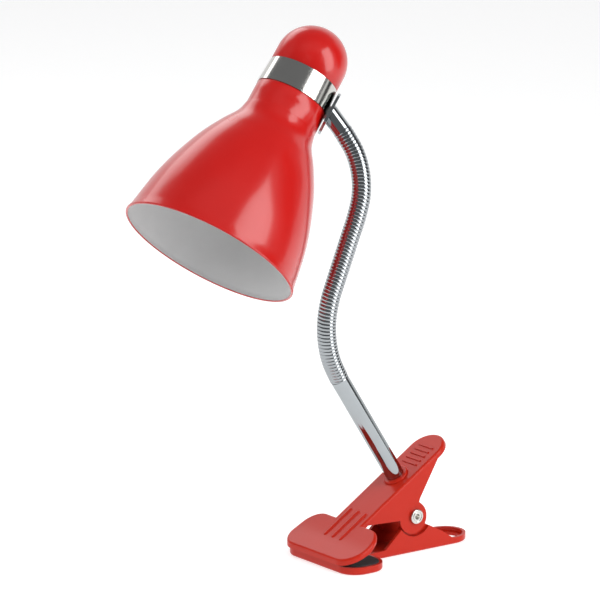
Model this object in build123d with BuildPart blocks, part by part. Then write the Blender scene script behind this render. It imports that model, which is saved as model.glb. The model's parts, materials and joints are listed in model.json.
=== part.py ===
"""Clip-on reading lamp.

Millimetres, +Z up. The origin is on the underside of the lower jaw, straight below the pivot.
-X is the front, where the jaws and the shade are, +X is the handle end, and the pivot lies along Y.
The jaws, stem and gooseneck are placed in this frame. The head has a frame of its own, whose
stations are counted from the shade's mouth towards the cap.
"""
from build123d import *
from math import cos, radians, sin, tan
import os

os.makedirs("parts", exist_ok=True)

# ---- clip: two pressed levers on one hollow rivet
LEVER_WALL = 2.0            # sheet and wall thickness of both levers
BODY_WIDTH = 28.0           # width of both levers between paddle and handle end
PADDLE_WIDTH = 74.0
PADDLE_FRONT_X = -71.5
PADDLE_REAR_X = -42.0
LOWER_PADDLE_FRONT_X = -69.3
LOWER_PADDLE_REAR_X = -37.5
PADDLE_CORNER = 13.0
PADDLE_THROAT = 9.0         # concave corner between paddle and body
PIVOT_HEIGHT = 24.0
BEYOND = 60.0               # how far cutting prisms reach past the clip
RUNNING_FIT = 0.05          # radial clearance of turning fits
SEAT_GAP = 0.05             # clearance between pieces that are assembled face to face
NUT_CHAMFER = 0.3

LOWER_TIP_X = 34.0          # centre of the lower handle's round end
LOWER_RIM = 5.0
HANG_HOLE_X = 36.0
HANG_HOLE_RADIUS = 8.0
EAR_RADIUS = 10.6           # round ears of the upper lever
EAR_X = -1.8                # the ears' centre lies a little in front of the pivot and under it
EAR_HEIGHT = 23.2
EAR_RECESS_RADIUS = 13.4    # the lower lever's walls step in round the ears
EAR_RECESS_DEPTH = 2.3
LOWER_EAR_RADIUS = 9.4
EDGE_ROUND = 1.6
# side walls of the lower lever: corners of their outline, front to rear
WALL_FRONT_LOW = (-24.2, LOWER_RIM)
WALL_FRONT_HIGH = (-9.6, 18.1)
WALL_REAR_HIGH = (9.8, 16.9)
WALL_REAR_MID = (21.7, 10.6)
WALL_REAR_LOW = (30.7, LOWER_RIM - 0.6)

PADDLE_LEAN = 23.0          # slope of the upper paddle, degrees
PLATE_LEAN = 32.6           # slope of the upper lever's plate, degrees
PADDLE_TOP = 9.9            # height of the upper paddle's front edge
PLATE_AT_STEM = Vector(-5.5, 0, 48.85)
UPPER_TIP = 26.9            # centre of the upper handle's round end, along the plate from the stem
UPPER_RIM = 3.6
BEND_RADIUS = 60.0          # bend between the upper paddle and the plate
CHEEK_REAR_HIGH_X = 17.9    # side walls of the upper lever: corners of their outline, rear to front
CHEEK_REAR_LOW = (3.6, 35.4)
CHEEK_FRONT_LOW = (-9.8, 18.2)
CHEEK_FRONT_MID = (-11.5, 22.8)
CHEEK_FRONT_HIGH = (-38.1, 24.1)

RIB_SPACING = 8.0           # three ribs across the bend
RIB_RADIUS = 1.5
RIB_SINK = 0.45             # depth of a rib's centre line under the top
RIB_FRONT_X = -55.5
RIB_REAR_X = -35.6
THUMB_RIDGE_SPACING = 4.0
THUMB_RIDGE_AT = 21.0
THUMB_RIDGE_LENGTH = 15.0
THUMB_RIDGE_WIDTH = 1.3
THUMB_RIDGE_SINK = 0.4
THUMB_RIDGE_HEIGHT = 0.6

PAD_GAP = 0.3
PAD_ROUND = 0.6
PAD_TONGUE = 4.0            # how far the pads reach into the levers' bodies
LOWER_PAD_TOP = 5.6
UPPER_PAD_THICKNESS = 2.6

RIVET_RADIUS = 3.0
RIVET_BORE = 1.8
RIVET_HEAD_RADIUS = 4.8
RIVET_HEAD_HEIGHT = 2.0
RIVET_HEAD_ROUND = 0.6
RIVET_GROOVE_AT = 3.2       # ring groove in each rivet head
RIVET_GROOVE_WIDTH = 0.5
RIVET_GROOVE_DEPTH = 0.35
RIVET_BORE_DEPTH = 4.0

WIRE_RADIUS = 0.9           # torsion spring
COIL_RADIUS = 5.4
COIL_PITCH = 2.3
COIL_WHOLE_TURNS = 5
LOWER_LEG_ANGLE = -50.0     # directions of the spring's legs in the XZ plane
UPPER_LEG_ANGLE = 75.0
LOWER_LEG_LENGTH = 31.0
UPPER_LEG_LENGTH = 35.5

# ---- stem and gooseneck
STEM_RADIUS = 6.0
STEM_BORE = 5.0
STEM_LENGTH = 85.0
BOSS_RADIUS = 8.6
BOSS_HEIGHT = 1.4
BOSS_ROUND = 0.9
NIPPLE_RADIUS = 4.9
NIPPLE_BORE = 3.6
NIPPLE_LOW = -10.0          # ends of the nipple, along the stem from the plate's top
NIPPLE_HIGH = 16.0
WASHER_RADIUS = 9.0
WASHER_THICKNESS = 1.0
NUT_FLATS = 14.0
STEM_NUT_THICKNESS = 4.0
GROMMET_BORE = 2.4
GROMMET_FLANGE_RADIUS = 5.6
GROMMET_FLANGE = 2.0
GROMMET_DEPTH = 5.0

LINK_COUNT = 12
LINK_RADIUS = 6.25
LINK_BORE = 4.6
LINK_RELIEF = 14.0          # cone angle at both ends of a link, degrees: room to bend
ROOT_RELIEF = 21.0          # the same at the stem, whose own end is flat
LOWER_ARC_RADIUS = 65.9
STRAIGHT_RUN = 51.1
UPPER_ARC_RADIUS = 57.8
STRAIGHT_LEAN = 19.94       # rearward lean of the neck's straight run, degrees
STRAIGHT_SIDE = -2.98
END_LEAN = -25.2            # direction in which the neck meets the head
END_SIDE = 28.7
HEAD_UP = Vector(0.641, 0.110, 0.760)           # from the shade's mouth to the cap
DISC_SIDE = Vector(0.644, -0.614, -0.454)       # roughly outwards through the swivel
FERRULE_LENGTH = 14.7
FERRULE_START = 1.7         # gap between the last link and the ferrule

# ---- head, in stations along its axis from the shade's mouth
MOUTH_RADIUS = 58.3
BELL_POINTS = [(52.5, 33.0), (43.0, 61.0), (34.0, 79.0), (26.6, 91.0)]     # radius and station
MOUTH_FLARE = 0.13          # how much the bell narrows per millimetre at the mouth
LIP_RADIUS = 0.75           # rolled lip at the mouth
SHADE_WALL = 0.9
SHOULDER = 100.0
NECK_RADIUS = 24.0
BAND_START = 115.0
BAND_END = 132.0
BAND_RADIUS_LOW = 24.4
BAND_RADIUS_HIGH = 23.5
SPIGOT_RADIUS = 22.9
SPIGOT_WALL = 0.8
SPIGOT_END = 128.0
SPIGOT_HOLE_RADIUS = 18.0
DOME_RADIUS = 23.3
DOME_WALL = 1.0
DOME_TOP = 166.0
CAP_RECESS_RADIUS = 3.4
CAP_RECESS_DEPTH = 2.2
CAP_SCREW_RADIUS = 2.0
CAP_SCREW_HEAD_RADIUS = 3.1
CAP_SCREW_HEAD = 1.2
CAP_SCREW_BELOW_STRAP = 6.0
CROSS_WIDTH = 0.7
CROSS_LENGTH = 4.0
CROSS_DEPTH = 0.5
BRACKET_WALL = 1.4
STRAP_TOP = 152.0
STRAP_HALF = 14.0
STRAP_WIDTH = 10.0
DISC_STATION = 118.0
DISC_RADIUS = 14.5
DISC_INNER = 24.8           # distance of the disc's inner face from the head's axis
DISC_THICKNESS = 1.8
STUD_RADIUS = 5.0
STUD_BORE = 3.6             # the leads run through the swivel stud and the holder nipple
STUD_INNER = 15.8           # distance of the stud's inner end from the head's axis
SWIVEL_NUT_INNER = 16.6
SWIVEL_NUT_FLATS = 12.6
SWIVEL_NUT_THICKNESS = 3.2
SWIVEL_WASHER_RADIUS = 7.2
SWIVEL_WASHER_INNER = 19.9
SWIVEL_WASHER_OUTER = 20.4
SADDLE_INNER = 20.6         # flat inner face of the saddle, which fills the shell's curve under the washer
SADDLE_SIZE = 14.0
HOLDER_MOUTH = 84.0
HOLDER_RADIUS = 19.5
HOLDER_WALL = 1.6
HOLDER_LIP = 3.0            # how far the holder's front lip reaches in
HOLDER_TOP = 122.0
SKIRT_TOP = 103.0
SOCKET_RADIUS = 13.3        # inside of the screw shell
SHELL_WALL = 0.4
SHELL_START = 86.2
SHELL_END = 100.8
SLEEVE_END = 102.0
BASE_START = 105.0          # ceramic base behind the socket
BASE_END = 107.2
BASE_RADIUS = 14.2
TONGUE_WALL = 0.3           # centre contact, a bent strip
TONGUE_WIDTH = 6.0
TONGUE_POINTS = [(-5.5, 104.6), (3.0, 104.6), (3.0, 103.0), (-3.0, 101.9)]
TERMINAL_SPACING = 8.0      # terminal screws, from the head's axis
TERMINAL_SHANK_RADIUS = 1.4
TERMINAL_HEAD_RADIUS = 2.6
TERMINAL_SHANK = 2.0
TERMINAL_HEAD = 1.6
TERMINAL_SLOT = 0.6
HOLDER_NIPPLE_START = 116.5
HOLDER_NIPPLE_END = 133.5
HOLDER_NUT_THICKNESS = 3.0


# ---------------------------------------------------------------- frames and helpers
def lean(forward_degrees, side_degrees):
    """Unit vector leaning from +Z towards +X, then towards +Y."""
    a, b = radians(forward_degrees), radians(side_degrees)
    return Vector(sin(a) * cos(b), sin(b), cos(a) * cos(b))


def turning_plane(origin, along, radial):
    """Plane for a turned profile: local x is the radius and local y runs along the turning axis."""
    return Plane(origin=origin, x_dir=radial, z_dir=radial.cross(along))


def square_to(direction):
    """Any unit vector square to a direction."""
    return direction.cross(Vector(0, 1, 0)).normalized()


def save(part, name):
    part.label = name
    export_step(part, f"parts/{name}.step")


def border_edges(faces):
    """Edges that bound a group of faces: those that only one face of the group has."""
    edges = [edge for face in faces for edge in face.edges()]
    return ShapeList(e for e in edges if sum(e.is_same(other) for other in edges) == 1)


def turned_ring(origin, along, inner, outer, start, end):
    """Plain turned ring between two stations on an axis."""
    plane = turning_plane(origin, along, square_to(along))
    with BuildPart() as ring:
        with BuildSketch(plane):
            with Locations(((inner + outer) / 2, (start + end) / 2)):
                Rectangle(outer - inner, end - start)
        revolve(axis=Axis(origin, along))
    return ring.part


def hex_nut(plane, across_flats, thickness, hole):
    """Hexagon nut that stands on a plane."""
    with BuildPart() as nut:
        with BuildSketch(plane):
            RegularPolygon(across_flats / 2, 6, major_radius=False)
            Circle(hole, mode=Mode.SUBTRACT)
        extrude(amount=thickness)
        ends = nut.faces().filter_by(GeomType.PLANE).group_by(SortBy.AREA)[-1]
        chamfer(ends.edges().filter_by(GeomType.CIRCLE), NUT_CHAMFER)
    return nut.part


half_body = BODY_WIDTH / 2
plate_plane = Plane(
    origin=PLATE_AT_STEM,
    x_dir=(cos(radians(PLATE_LEAN)), 0, sin(radians(PLATE_LEAN))),
    z_dir=(-sin(radians(PLATE_LEAN)), 0, cos(radians(PLATE_LEAN))),
)
stem_axis = plate_plane.z_dir


def plate_height(x, drop=0.0):
    """Height of the plate's top plane over x, or of the plane that lies `drop` under it."""
    slope = radians(PLATE_LEAN)
    return PLATE_AT_STEM.Z + (x - PLATE_AT_STEM.X) * tan(slope) - drop / cos(slope)


def paddle_height(x, drop=0.0):
    """Height of the upper paddle's top plane over x, or of the plane that lies `drop` under it."""
    slope = radians(PADDLE_LEAN)
    return PADDLE_TOP + (x - PADDLE_FRONT_X) * tan(slope) - drop / cos(slope)


def bend_x(drop=0.0):
    """Where the paddle plane and the plate plane meet, both `drop` under the top."""
    rise = tan(radians(PLATE_LEAN)) - tan(radians(PADDLE_LEAN))
    return (paddle_height(0, drop) - plate_height(0, drop)) / rise


# ---------------------------------------------------------------- clip outlines
def paddle_sketch(front, rear, inset=0.0, body_end=-20.0):
    """Plan of a paddle joined to a lever body that ends at body_end, all of it inset."""
    with BuildSketch() as plan:
        with Locations(((front + rear) / 2, 0)):
            Rectangle(rear - front, PADDLE_WIDTH)
        with Locations(((rear + body_end) / 2, 0)):
            Rectangle(body_end - rear, BODY_WIDTH)
        corners = plan.vertices().filter_by(lambda v: abs(v.Y) > half_body + 1)
        throat = plan.vertices().filter_by(
            lambda v: abs(abs(v.Y) - half_body) < 0.1 and v.X < rear + 1
        )
        fillet(corners, PADDLE_CORNER)
        fillet(throat, PADDLE_THROAT)
        if inset:
            offset(amount=-inset, mode=Mode.REPLACE)
    return plan.sketch


def long_sketch(inset, start_x, tip_x):
    """Plan of a lever body with a round end, inset on its long sides and its tip."""
    with BuildSketch() as plan:
        with Locations(((start_x + tip_x) / 2, 0)):
            Rectangle(tip_x - start_x, BODY_WIDTH - 2 * inset)
        with Locations((tip_x, 0)):
            Circle(half_body - inset)
    return plan.sketch


def lever_plan(inset):
    """Whole plan of the lower lever."""
    with BuildSketch() as plan:
        add(paddle_sketch(LOWER_PADDLE_FRONT_X, LOWER_PADDLE_REAR_X, inset))
        add(long_sketch(inset, LOWER_PADDLE_REAR_X, LOWER_TIP_X))
    return plan.sketch


# ---------------------------------------------------------------- lower lever
lower_tip_end = LOWER_TIP_X + half_body

# inside of the tray, narrower round the pivot where the walls step in
with BuildPart() as tray:
    with BuildSketch(Plane.XY.offset(LEVER_WALL)):
        add(lever_plan(LEVER_WALL))
    extrude(amount=BEYOND)
    with BuildSketch(Plane.XZ):
        with Locations((0, PIVOT_HEIGHT)):
            Circle(EAR_RECESS_RADIUS + LEVER_WALL)
    extrude(amount=BODY_WIDTH, both=True, mode=Mode.SUBTRACT)
    with BuildSketch(Plane.XY.offset(LEVER_WALL)):
        Rectangle(3.5 * EAR_RECESS_RADIUS, BODY_WIDTH - 2 * (LEVER_WALL + EAR_RECESS_DEPTH))
    extrude(amount=BEYOND)

with BuildPart() as lower_lever:
    with BuildSketch():
        add(lever_plan(0.0))
    extrude(amount=PIVOT_HEIGHT + EAR_RECESS_RADIUS)
    with BuildSketch(Plane.XZ):
        with BuildLine():
            Polyline(
                (LOWER_PADDLE_FRONT_X - 1, 0),
                (LOWER_PADDLE_FRONT_X - 1, LOWER_RIM),
                WALL_FRONT_LOW,
                WALL_FRONT_HIGH,
                (0, PIVOT_HEIGHT),
                WALL_REAR_HIGH,
                WALL_REAR_MID,
                WALL_REAR_LOW,
                (lower_tip_end + 1, LOWER_RIM),
                (lower_tip_end + 1, 0),
                close=True,
            )
        make_face()
        with Locations((0, PIVOT_HEIGHT)):
            Circle(LOWER_EAR_RADIUS)
    extrude(amount=PADDLE_WIDTH, both=True, mode=Mode.INTERSECT)
    fillet(lower_lever.faces().sort_by(Axis.Z)[0].edges(), EDGE_ROUND)
    add(tray.part, mode=Mode.SUBTRACT)
    # recesses for the ears of the upper lever
    for side in (1, -1):
        with BuildSketch(Plane.XZ.offset(side * (half_body - EAR_RECESS_DEPTH))):
            with Locations((0, PIVOT_HEIGHT)):
                Circle(EAR_RECESS_RADIUS)
        extrude(amount=side * BEYOND, mode=Mode.SUBTRACT)
    with BuildSketch(Plane.XZ):
        with Locations((0, PIVOT_HEIGHT)):
            Circle(RIVET_RADIUS + SEAT_GAP)
    extrude(amount=PADDLE_WIDTH, both=True, mode=Mode.SUBTRACT)
    with BuildSketch():
        with Locations((HANG_HOLE_X, 0)):
            Circle(HANG_HOLE_RADIUS)
    extrude(amount=LEVER_WALL, mode=Mode.SUBTRACT)
save(lower_lever.part, "lower_lever")

with BuildPart() as lower_pad:
    with BuildSketch(Plane.XY.offset(LEVER_WALL + SEAT_GAP)):
        pad_rear = LOWER_PADDLE_REAR_X + PAD_TONGUE
        add(paddle_sketch(LOWER_PADDLE_FRONT_X, LOWER_PADDLE_REAR_X, LEVER_WALL + PAD_GAP, pad_rear))
    extrude(amount=LOWER_PAD_TOP - LEVER_WALL - SEAT_GAP)
    fillet(lower_pad.faces().sort_by(Axis.Z)[-1].edges(), PAD_ROUND)
save(lower_pad.part, "lower_pad")


# ---------------------------------------------------------------- upper lever
def upper_profile(drop, floor_line):
    """Side view of the upper lever between its top, sunk by drop, and the points of its underside."""
    bend = bend_x(drop)
    front = PADDLE_FRONT_X - 5
    with BuildSketch(Plane.XZ) as profile:
        with BuildLine():
            Polyline(
                (front, paddle_height(front, drop)),
                (bend, plate_height(bend, drop)),
                (BEYOND, plate_height(BEYOND, drop)),
                *floor_line,
                close=True,
            )
        make_face()
        bend_corner = profile.vertices().filter_by(lambda v: abs(v.X - bend) < 0.01)
        fillet(bend_corner, BEND_RADIUS)
    return profile.sketch


def upper_plan(inset):
    """Plan prisms of the upper lever: the paddle's is upright, the plate's is square to the plate."""
    with BuildPart() as plan:
        with BuildSketch():
            add(paddle_sketch(PADDLE_FRONT_X, PADDLE_REAR_X, inset))
        extrude(amount=2 * BEYOND, both=True)
        with BuildSketch(plate_plane):
            add(long_sketch(inset, PADDLE_REAR_X - 3, UPPER_TIP))
        extrude(amount=1.2 * BEYOND, both=True)
    return plan.part


rim_bend = bend_x(UPPER_RIM)
upper_underside = [
    (BEYOND, plate_height(BEYOND, UPPER_RIM)),
    (CHEEK_REAR_HIGH_X, plate_height(CHEEK_REAR_HIGH_X, UPPER_RIM)),
    CHEEK_REAR_LOW,
    (0, PIVOT_HEIGHT),
    CHEEK_FRONT_LOW,
    CHEEK_FRONT_MID,
    CHEEK_FRONT_HIGH,
    (rim_bend, plate_height(rim_bend, UPPER_RIM)),
    (PADDLE_FRONT_X - 5, paddle_height(PADDLE_FRONT_X - 5, UPPER_RIM)),
]
hollow_floor = [(BEYOND, -BEYOND), (PADDLE_FRONT_X - 5, -BEYOND)]

with BuildPart() as hollow:
    with BuildSketch(Plane.XZ):
        add(upper_profile(LEVER_WALL, hollow_floor))
    extrude(amount=PADDLE_WIDTH, both=True)
    add(upper_plan(LEVER_WALL), mode=Mode.INTERSECT)

with BuildPart() as upper_lever:
    with BuildSketch(Plane.XZ):
        add(upper_profile(0.0, upper_underside))
        with Locations((EAR_X, EAR_HEIGHT)):
            Circle(EAR_RADIUS)
    extrude(amount=PADDLE_WIDTH, both=True)
    add(upper_plan(0.0), mode=Mode.INTERSECT)
    top_faces = upper_lever.faces().filter_by(lambda f: f.normal_at().Z > 0.7)
    fillet(border_edges(top_faces), EDGE_ROUND)
    add(hollow.part, mode=Mode.SUBTRACT)
    # boss that the stem stands on
    with BuildSketch(plate_plane.offset(-LEVER_WALL / 2)):
        Circle(BOSS_RADIUS)
    extrude(amount=LEVER_WALL / 2 + BOSS_HEIGHT)
    along_stem = Axis(PLATE_AT_STEM, stem_axis)
    boss_top = upper_lever.faces().filter_by(along_stem).sort_by(along_stem)[-1]
    fillet(boss_top.edges(), BOSS_ROUND)
    with BuildSketch(plate_plane):
        Circle(NIPPLE_RADIUS + SEAT_GAP)
    extrude(amount=10, both=True, mode=Mode.SUBTRACT)
    # pivot holes in both ears
    with BuildSketch(Plane.XZ):
        with Locations((0, PIVOT_HEIGHT)):
            Circle(RIVET_RADIUS + RUNNING_FIT)
    extrude(amount=PADDLE_WIDTH, both=True, mode=Mode.SUBTRACT)
    # three ribs across the bend between paddle and plate
    rib_front = Vector(RIB_FRONT_X, 0, paddle_height(RIB_FRONT_X, RIB_SINK))
    rib_rear = Vector(RIB_REAR_X, 0, plate_height(RIB_REAR_X, RIB_SINK))
    for row in (-1, 0, 1):
        rib_plane = Plane(origin=rib_front + Vector(0, row * RIB_SPACING, 0), z_dir=rib_rear - rib_front)
        with BuildSketch(rib_plane):
            Circle(RIB_RADIUS)
        extrude(amount=(rib_rear - rib_front).length)
        for end in (rib_front, rib_rear):
            with Locations(end + Vector(0, row * RIB_SPACING, 0)):
                Sphere(RIB_RADIUS)
    # thumb ridges near the handle's end
    with BuildSketch(plate_plane.offset(-THUMB_RIDGE_SINK)):
        with Locations((THUMB_RIDGE_AT, 0)):
            with GridLocations(THUMB_RIDGE_SPACING, 1, 5, 1):
                SlotOverall(THUMB_RIDGE_LENGTH, THUMB_RIDGE_WIDTH, rotation=90)
    extrude(amount=THUMB_RIDGE_SINK + THUMB_RIDGE_HEIGHT)
save(upper_lever.part, "upper_lever")

with BuildPart() as upper_pad:
    pad_front = PADDLE_FRONT_X - 5
    pad_rear = PADDLE_REAR_X + PAD_TONGUE
    pad_top = LEVER_WALL + SEAT_GAP
    pad_bottom = pad_top + UPPER_PAD_THICKNESS
    with BuildSketch(Plane.XZ):
        with BuildLine():
            Polyline(
                (pad_front, paddle_height(pad_front, pad_top)),
                (pad_rear, paddle_height(pad_rear, pad_top)),
                (pad_rear, paddle_height(pad_rear, pad_bottom)),
                (pad_front, paddle_height(pad_front, pad_bottom)),
                close=True,
            )
        make_face()
    extrude(amount=PADDLE_WIDTH, both=True)
    with BuildSketch():
        add(paddle_sketch(PADDLE_FRONT_X, PADDLE_REAR_X, LEVER_WALL + PAD_GAP, pad_rear))
    extrude(amount=BEYOND, both=True, mode=Mode.INTERSECT)
save(upper_pad.part, "upper_pad")


# ---------------------------------------------------------------- pivot
rivet_end = half_body + SEAT_GAP
pivot_centre = Vector(0, 0, PIVOT_HEIGHT)
with BuildPart() as pivot_rivet:
    with BuildSketch(turning_plane(pivot_centre, Vector(0, 1, 0), Vector(1, 0, 0))) as rivet_profile:
        with Locations((RIVET_RADIUS / 2, 0)):
            Rectangle(RIVET_RADIUS, 2 * (rivet_end + RIVET_HEAD_HEIGHT))
        for end in (1, -1):
            with Locations((RIVET_HEAD_RADIUS / 2, end * (rivet_end + RIVET_HEAD_HEIGHT / 2))):
                Rectangle(RIVET_HEAD_RADIUS, RIVET_HEAD_HEIGHT)
        rims = rivet_profile.vertices().filter_by(
            lambda v: abs(v.X - RIVET_HEAD_RADIUS) < 0.01 and abs(v.Y) > rivet_end + 1
        )
        fillet(rims, RIVET_HEAD_ROUND)
        for end in (1, -1):
            with Locations((0, end * (rivet_end + RIVET_HEAD_HEIGHT))):
                Rectangle(2 * RIVET_BORE, 2 * RIVET_BORE_DEPTH, mode=Mode.SUBTRACT)
            with Locations((RIVET_GROOVE_AT, end * (rivet_end + RIVET_HEAD_HEIGHT))):
                Rectangle(RIVET_GROOVE_WIDTH, 2 * RIVET_GROOVE_DEPTH, mode=Mode.SUBTRACT)
    revolve(axis=Axis(pivot_centre, (0, 1, 0)))
save(pivot_rivet.part, "pivot_rivet")

coil_turns = COIL_WHOLE_TURNS + (UPPER_LEG_ANGLE - 90 - (LOWER_LEG_ANGLE + 90)) % 360 / 360
coil_height = COIL_PITCH * coil_turns
coil_start = radians(LOWER_LEG_ANGLE + 90)
coil_plane = Plane(
    origin=(0, coil_height / 2, PIVOT_HEIGHT), x_dir=(cos(coil_start), 0, sin(coil_start)), z_dir=(0, -1, 0)
)
coil = coil_plane * Helix(COIL_PITCH, coil_height, COIL_RADIUS)
with BuildPart() as torsion_spring:
    with BuildSketch(Plane(origin=coil @ 0, z_dir=coil % 0)):
        Circle(WIRE_RADIUS)
    sweep(path=coil, is_frenet=True)
    for end, length in ((0, -LOWER_LEG_LENGTH), (1, UPPER_LEG_LENGTH)):
        with BuildSketch(Plane(origin=coil @ end, z_dir=coil % end)):
            Circle(WIRE_RADIUS)
        extrude(amount=length)
save(torsion_spring.part, "torsion_spring")


# ---------------------------------------------------------------- stem and its fixing
def on_stem(inner, outer, start, end, name):
    """Turned ring on the stem's axis, its stations counted from the plate's top."""
    save(turned_ring(PLATE_AT_STEM, stem_axis, inner, outer, start, end), name)


under_plate = -LEVER_WALL - SEAT_GAP
on_stem(STEM_BORE, STEM_RADIUS, BOSS_HEIGHT + SEAT_GAP, STEM_LENGTH, "stem_tube")
on_stem(NIPPLE_BORE, NIPPLE_RADIUS, NIPPLE_LOW, NIPPLE_HIGH, "stem_nipple")
on_stem(NIPPLE_RADIUS + SEAT_GAP, WASHER_RADIUS, under_plate - WASHER_THICKNESS, under_plate, "stem_washer")
nut_plane = plate_plane.offset(under_plate - WASHER_THICKNESS - SEAT_GAP - STEM_NUT_THICKNESS)
save(hex_nut(nut_plane, NUT_FLATS, STEM_NUT_THICKNESS, NIPPLE_RADIUS + SEAT_GAP), "stem_nut")

with BuildPart() as cord_grommet:
    neck_of_grommet = NIPPLE_BORE - SEAT_GAP
    with BuildSketch(turning_plane(PLATE_AT_STEM, stem_axis, square_to(stem_axis))):
        with BuildLine():
            Polyline(
                (GROMMET_BORE, NIPPLE_LOW - GROMMET_FLANGE),
                (GROMMET_FLANGE_RADIUS, NIPPLE_LOW - GROMMET_FLANGE),
                (GROMMET_FLANGE_RADIUS, NIPPLE_LOW - SEAT_GAP),
                (neck_of_grommet, NIPPLE_LOW - SEAT_GAP),
                (neck_of_grommet, NIPPLE_LOW + GROMMET_DEPTH),
                (GROMMET_BORE, NIPPLE_LOW + GROMMET_DEPTH),
                close=True,
            )
        make_face()
    revolve(axis=Axis(PLATE_AT_STEM, stem_axis))
save(cord_grommet.part, "cord_grommet")


# ---------------------------------------------------------------- gooseneck
neck_root = PLATE_AT_STEM + stem_axis * STEM_LENGTH
straight_direction = lean(STRAIGHT_LEAN, STRAIGHT_SIDE)
end_direction = lean(END_LEAN, END_SIDE)


def arc_point(start, direction, towards, radius, length):
    """Point after an arc length on the arc that leaves start along direction and bends towards another."""
    inward = (towards - direction * towards.dot(direction)).normalized()
    turn = length / radius
    return start + direction * (radius * sin(turn)) + inward * (radius * (1 - cos(turn)))


lower_arc = LOWER_ARC_RADIUS * radians(stem_axis.get_angle(straight_direction))
upper_arc = UPPER_ARC_RADIUS * radians(straight_direction.get_angle(end_direction))
neck_length = lower_arc + STRAIGHT_RUN + upper_arc
straight_start = arc_point(neck_root, stem_axis, straight_direction, LOWER_ARC_RADIUS, lower_arc)
upper_arc_start = straight_start + straight_direction * STRAIGHT_RUN


def neck_point(distance):
    """Point on the neck's centre line at a distance from the stem."""
    if distance < lower_arc:
        return arc_point(neck_root, stem_axis, straight_direction, LOWER_ARC_RADIUS, distance)
    if distance < lower_arc + STRAIGHT_RUN:
        return straight_start + straight_direction * (distance - lower_arc)
    past = distance - lower_arc - STRAIGHT_RUN
    return arc_point(upper_arc_start, straight_direction, end_direction, UPPER_ARC_RADIUS, past)


neck_nodes = [neck_point(neck_length * k / LINK_COUNT) for k in range(LINK_COUNT + 1)]


def neck_link(start, end, start_relief):
    """One rigid link of the neck: a tube whose ends are cones, so that it can tilt on its neighbours."""
    along = (end - start).normalized()
    length = (end - start).length
    start_slope = tan(radians(start_relief))
    end_slope = tan(radians(LINK_RELIEF))
    with BuildPart() as link:
        with BuildSketch(turning_plane(start, along, square_to(along))):
            with BuildLine():
                Polyline(
                    (LINK_BORE, LINK_BORE * start_slope),
                    (LINK_RADIUS, LINK_RADIUS * start_slope),
                    (LINK_RADIUS, length - LINK_RADIUS * end_slope),
                    (LINK_BORE, length - LINK_BORE * end_slope),
                    close=True,
                )
            make_face()
        revolve(axis=Axis(start, along))
    return link.part


for k in range(LINK_COUNT):
    relief = LINK_RELIEF if k else ROOT_RELIEF
    save(neck_link(neck_nodes[k], neck_nodes[k + 1], relief), f"neck_link_{k + 1:02d}")


# ---------------------------------------------------------------- swivel between neck and head
disc_centre = neck_nodes[-1] + end_direction * FERRULE_LENGTH
head_up = HEAD_UP.normalized()
disc_normal = (DISC_SIDE - head_up * DISC_SIDE.dot(head_up)).normalized()
disc_face = DISC_INNER + DISC_THICKNESS
disc_axis_point = disc_centre - disc_normal * disc_face
mouth_centre = disc_axis_point - head_up * DISC_STATION
head_profile = turning_plane(mouth_centre, head_up, disc_normal)
head_axis = Axis(mouth_centre, head_up)
head_frame = Plane(origin=mouth_centre, x_dir=disc_normal, z_dir=head_up)
spigot_bore = SPIGOT_RADIUS - SPIGOT_WALL

# hole for the stud through the shade, the band and the saddle
with BuildPart() as stud_hole:
    with BuildSketch(Plane(origin=disc_axis_point, x_dir=head_up, z_dir=disc_normal)):
        Circle(STUD_RADIUS + RUNNING_FIT)
    extrude(amount=2 * NECK_RADIUS)

with BuildPart() as neck_ferrule:
    with BuildSketch(Plane(origin=neck_nodes[-1], z_dir=end_direction)):
        Circle(STEM_RADIUS)
        Circle(LINK_BORE, mode=Mode.SUBTRACT)
    extrude(amount=FERRULE_LENGTH + 10)
    split(bisect_by=Plane(origin=disc_centre + disc_normal * SEAT_GAP, z_dir=disc_normal), keep=Keep.TOP)
    ferrule_end = Plane(origin=neck_nodes[-1] + end_direction * FERRULE_START, z_dir=end_direction)
    split(bisect_by=ferrule_end, keep=Keep.TOP)
save(neck_ferrule.part, "neck_ferrule")


def on_swivel(inner, outer, start, end, name):
    """Turned ring on the swivel's axis, its stations counted from the head's axis."""
    save(turned_ring(disc_axis_point, disc_normal, inner, outer, start, end), name)


stud_hole_radius = STUD_RADIUS + SEAT_GAP
on_swivel(stud_hole_radius, DISC_RADIUS, DISC_INNER, disc_face, "swivel_disc")
on_swivel(STUD_BORE, STUD_RADIUS, STUD_INNER, disc_face, "swivel_stud")
on_swivel(stud_hole_radius, SWIVEL_WASHER_RADIUS, SWIVEL_WASHER_INNER, SWIVEL_WASHER_OUTER, "swivel_washer")
swivel_nut_plane = Plane(
    origin=disc_axis_point + disc_normal * SWIVEL_NUT_INNER, x_dir=head_up, z_dir=disc_normal
)
save(hex_nut(swivel_nut_plane, SWIVEL_NUT_FLATS, SWIVEL_NUT_THICKNESS, stud_hole_radius), "swivel_nut")

with BuildPart() as swivel_saddle:
    with BuildSketch(head_frame.offset(DISC_STATION - SADDLE_SIZE / 2)):
        Circle(spigot_bore - SEAT_GAP)
        with Locations((SADDLE_INNER + SADDLE_SIZE / 2, 0)):
            Rectangle(SADDLE_SIZE, SADDLE_SIZE, mode=Mode.INTERSECT)
    extrude(amount=SADDLE_SIZE)
    add(stud_hole.part, mode=Mode.SUBTRACT)
save(swivel_saddle.part, "swivel_saddle")


# ---------------------------------------------------------------- head
def bell_line(thickness):
    """Outline of the bell from mouth to neck, moved in by a thickness."""
    points = [(MOUTH_RADIUS, 0), *BELL_POINTS, (NECK_RADIUS, SHOULDER)]
    return Spline(*[(r - thickness, s) for r, s in points], tangents=((-MOUTH_FLARE, 1), (0, 1)))


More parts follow.
